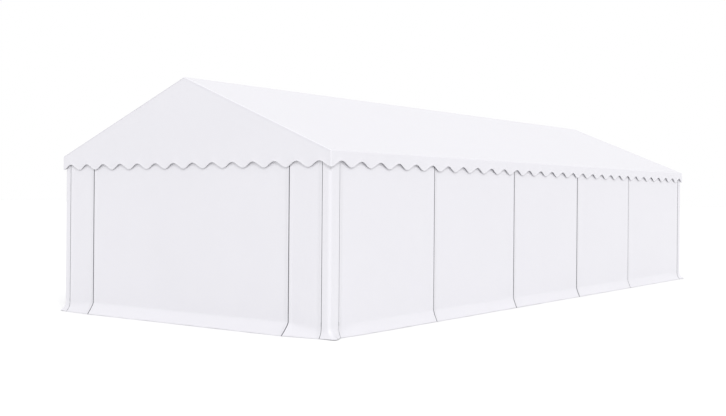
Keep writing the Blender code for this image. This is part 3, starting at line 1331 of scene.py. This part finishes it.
        leave = np.clip((travel[-1] - travel) / (second - radius), 0, 1)
        near = flares[0] + (reaches[0] - flares[0]) * arrive
        far = flares[1] + (reaches[1] - flares[1]) * leave
        forward = np.where(leave < 1, reaches[0] * leave, near)
        sideways = np.where(arrive < 1, reaches[1] * arrive, far)
        across = along + sideways * share + np.sin(turn) * raised
        points = wall.place(across, out + forward * share + np.cos(turn) * raised, up)
        shape = shell(points, self.thickness + raised, (travel, up, edge, up))
        piece = make_piece(f"{name}_fabric", shape, self.fabric)
        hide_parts(name)


@dataclass
class SteelFrame:
    """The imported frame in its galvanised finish, with its collars, sleeves, welds and bolts.

    Attributes:
        bead: the weld's rim, as heights above a foot plate and distances out from the post.
        collar: the collar's rim, as heights above the post's top and distances past its radius.
        washer: a washer's rim, as heights above its face and shares of the bolt's radius.
        washer_top: height of the washer under a bolt's head.
    """

    steel: bpy.types.Material
    zinc: bpy.types.Material
    bead: tuple = ((-0.0005, 0.0052), (0.0015, 0.0046), (0.0045, 0.0018), (0.0056, -0.0002))
    collar: tuple = ((-0.024, -0.001), (-0.0228, 0.0), (0.0004, 0.0), (0.0016, -0.0014))
    washer: tuple = ((-0.001, 1.35), (0.0014, 1.35), (0.0018, 1.25))
    washer_top: float = 0.0016
    post_sides: int = 28
    sleeve_sides: int = 24
    washer_sides: int = 20
    collar_radius: float = 0.0316
    sleeve_radius: float = 0.0208
    sleeve: tuple[float, float] = (0.030, 0.095)
    bevel: float = 0.0012
    bolt_radius: float = 0.0075
    bolt_height: float = 0.0055
    bolt_bevel: float = 0.001
    bolt_taper: float = 0.86
    bolt_below: float = 0.075
    bolt_above: float = 0.045
    anchor_radius: float = 0.009
    anchor_inset: float = 0.045

    def build(self) -> None:
        """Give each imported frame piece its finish, and make the fittings of each frame."""
        tubes = ("post", "rafters", "ridge", "eave_rail", "front_beam", "rear_beam")
        for name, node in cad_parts.items():
            if name.startswith(tubes):
                for slot in node.material_slots:
                    slot.material = self.steel
                LOG.info("%s: galvanised", name)
        for number, along in enumerate(SIZES.frames, 1):
            end = {1: 1, len(SIZES.frames): -1}.get(number, 0)
            posts = [self.post_fittings(hand, along, end) for hand in (-1, 1)]
            shape = merged([self.ridge_fittings(along, end), *posts])
            make_piece(f"fittings_{number}", shape, self.zinc)

    def bolt(self, centre: tuple, axis: tuple, radius: float | None = None) -> Shape:
        """A washer and a six-sided bolt head with a bevelled rim.

        Args:
            centre: the middle of its foot, on the face that it is screwed to.
            axis: the way that it points.
            radius: the head's radius, or none for the frame's usual one.

        Returns:
            The washer and the head as one shape.
        """
        radius = radius or self.bolt_radius
        washer = [(up, radius * share) for up, share in self.washer]
        top = self.bolt_height * radius / self.bolt_radius + self.washer_top
        bevel = self.bolt_bevel
        head = [(bevel, radius), (top - bevel, radius), (top, radius * self.bolt_taper)]
        shapes = [lathe(washer, self.washer_sides, centre, axis), lathe(head, 6, centre, axis)]
        return merged(shapes)

    def sleeves(self, line: float, height: float, along: float, end: int) -> Shape:
        """Sleeves on a lengthwise tube, on each side of a frame that has a bay there.

        Args:
            line: the tube's distance to the right of the middle.
            height: its height.
            along: the frame's place along the tent.
            end: 1 for the first frame, -1 for the last one, 0 for one between them.

        Returns:
            The sleeves as one shape.
        """
        start, stop = self.sleeve
        radius, bevel = self.sleeve_radius, self.bevel
        rim = [(start, radius - bevel), (start + bevel, radius)]
        rim += [(stop - bevel, radius), (stop, radius - bevel)]
        ways = [way for way in (-1, 1) if end != -way]
        centre, sides = (line, along, height), self.sleeve_sides
        return merged([lathe(rim, sides, centre, (0, way, 0)) for way in ways])

    def ridge_fittings(self, along: float, end: int) -> Shape:
        """Sleeves on the ridge pole and the bolt that ties it up to its rafters.

        Args:
            along: the frame's place along the tent.
            end: 1 for the first frame, -1 for the last one, 0 for one between them.

        Returns:
            The fittings as one shape.
        """
        height = SIZES.ridge_pole_height
        under = (0, along, height - SIZES.purlin_radius)
        return merged([self.sleeves(0, height, along, end), self.bolt(under, (0, 0, -1))])

    def post_fittings(self, hand: int, along: float, end: int) -> Shape:
        """A post's weld bead, collar, bolts and anchors, and the sleeves on the eave rail.

        Args:
            hand: 1 for a post on the right, -1 for one on the left.
            along: the frame's place along the tent.
            end: 1 for the first frame, -1 for the last one, 0 for one between them.

        Returns:
            The fittings as one shape.
        """
        post, plate, radius = SIZES.post_line, SIZES.plate_thickness, SIZES.post_radius
        top = SIZES.stub_foot
        foot, upwards, inward = (hand * post, along, 0), (0, 0, 1), (-hand, 0, 0)
        bead = [(plate + up, radius + out) for up, out in self.bead]
        collar = [(top + up, self.collar_radius + out) for up, out in self.collar]
        parts = [lathe(rim, self.post_sides, foot, upwards) for rim in (bead, collar)]
        bolts = ((top - self.bolt_below, radius), (top + self.bolt_above, SIZES.rafter_radius))
        for height, surface in bolts:
            parts.append(self.bolt((hand * (post - surface), along, height), inward))
        middle = along + end * SIZES.plate_shift
        inner = hand * (post - SIZES.plate_shift - self.anchor_inset)
        for way in (-1, 1):
            place = (inner, middle + way * self.anchor_inset, plate)
            parts.append(self.bolt(place, upwards, self.anchor_radius))
        line = hand * SIZES.eave_rail_line
        return merged([*parts, self.sleeves(line, SIZES.eave_rail_height, along, end)])


@dataclass
class Studio:
    """The photograph's camera, a white floor, an even white surround and one soft light."""

    eye: tuple[float, float, float] = (8.1716, -12.9812, 1.391)
    yaw: float = 0.6269
    roll: float = 0.008
    focal_pixels: float = 1040.15
    picture: tuple[int, int] = (726, 416)
    horizon_row: float = 196.44
    sensor: float = 36.0
    surround: float = 1.0
    sun_from: tuple[float, float, float] = (0.58, -0.51, 0.635)
    sun_strength: float = 1.35
    sun_angle: float = 18.0
    floor_half: float = 150.0
    far_clip: float = 600.0
    floor_colour: str = "#eeeeee"

    def build(self) -> None:
        """Make the camera, the light, the surround and the floor."""
        self.camera()
        self.light()
        self.floor()

    def camera(self) -> None:
        """Place the camera. It looks level, turned left from +Y by its yaw, with a slight roll."""
        width, height = self.picture
        data = bpy.data.cameras.new("photo_camera")
        data.sensor_width = self.sensor
        data.lens = self.focal_pixels / width * self.sensor
        data.shift_y = (self.horizon_row - height / 2) / width
        data.clip_end = self.far_clip
        camera = add_object("photo_camera", data)
        ahead = Vector((-math.sin(self.yaw), math.cos(self.yaw), 0))
        level = Vector((math.cos(self.yaw), math.sin(self.yaw), 0))
        right = level * math.cos(self.roll) + Vector((0, 0, math.sin(self.roll)))
        above = right.cross(ahead)
        turned = Matrix((right, above, -ahead)).transposed().to_4x4()
        camera.matrix_world = Matrix.Translation(self.eye) @ turned
        bpy.context.scene.camera = camera

    def light(self) -> None:
        """Light the tent evenly from all round, with a soft light from the front right."""
        scene = bpy.context.scene
        scene.view_settings.view_transform = "Standard"
        scene.view_settings.look = "None"
        world = bpy.data.worlds.new("white_surround")
        world.use_nodes = True
        backdrop = world.node_tree.nodes["Background"]
        fill_node(backdrop, {"Color": (1, 1, 1, 1), "Strength": self.surround}, {})
        scene.world = world
        data = bpy.data.lights.new("soft_light", "SUN")
        data.energy = self.sun_strength
        data.angle = math.radians(self.sun_angle)
        lamp = add_object("soft_light", data)
        lamp.rotation_euler = Vector(self.sun_from).to_track_quat("Z", "Y").to_euler()

    def floor(self) -> None:
        """Lay a plain white floor that reaches past the horizon of every view."""
        side = np.array([-self.floor_half, self.floor_half])
        along, across = np.meshgrid(side, side)
        points = np.stack([along, across, np.zeros_like(along)], axis=-1)
        mesh = bpy.data.meshes.new("floor")
        mesh.from_pydata(points.reshape(-1, 3).tolist(), [], grid_faces(2, 2).tolist())
        material, _, shader = new_material("painted_floor")
        settings = {"Roughness": 0.9, "Specular IOR Level": 0.1}
        fill_node(shader, {"Base Color": linear(self.floor_colour), **settings}, {})
        mesh.materials.append(material)
        floor = add_object("floor", mesh)


def main() -> None:
    """Build the scene in order: the studio, the frame, the walls and the roof cover."""
    logging.basicConfig(level=logging.INFO, format="%(name)s: %(message)s")
    Studio().build()
    steel = GalvanisedSteel("galvanised_tube").material()
    zinc = GalvanisedSteel("zinc_plated_fittings", "#cfd0d0", "#b4b5b4", 0.004, (0.26, 0.4))
    SteelFrame(steel, zinc.material()).build()
    WallSet(
        fabric=CoatedPolyester("wall_coated_polyester", stitch_line=0.024).material(),
        # Zip tape and teeth: the zip's own grey, darkened further as painted shade of each seam's
        # groove.
        tape=GrainedPlastic("zip_tape_polyester", "#55545a", 0.7).material(),
        teeth=GrainedPlastic("zip_teeth_nylon", "#77787e", 0.42).material(),
        webbing=PolyesterWebbing("loop_polyester_webbing").material(),
    ).build()
    RoofCover(
        fabric=CoatedPolyester("roof_coated_polyester", stitch_line=0.0095).material(),
    ).build()


if __name__ == "__main__":
    main()
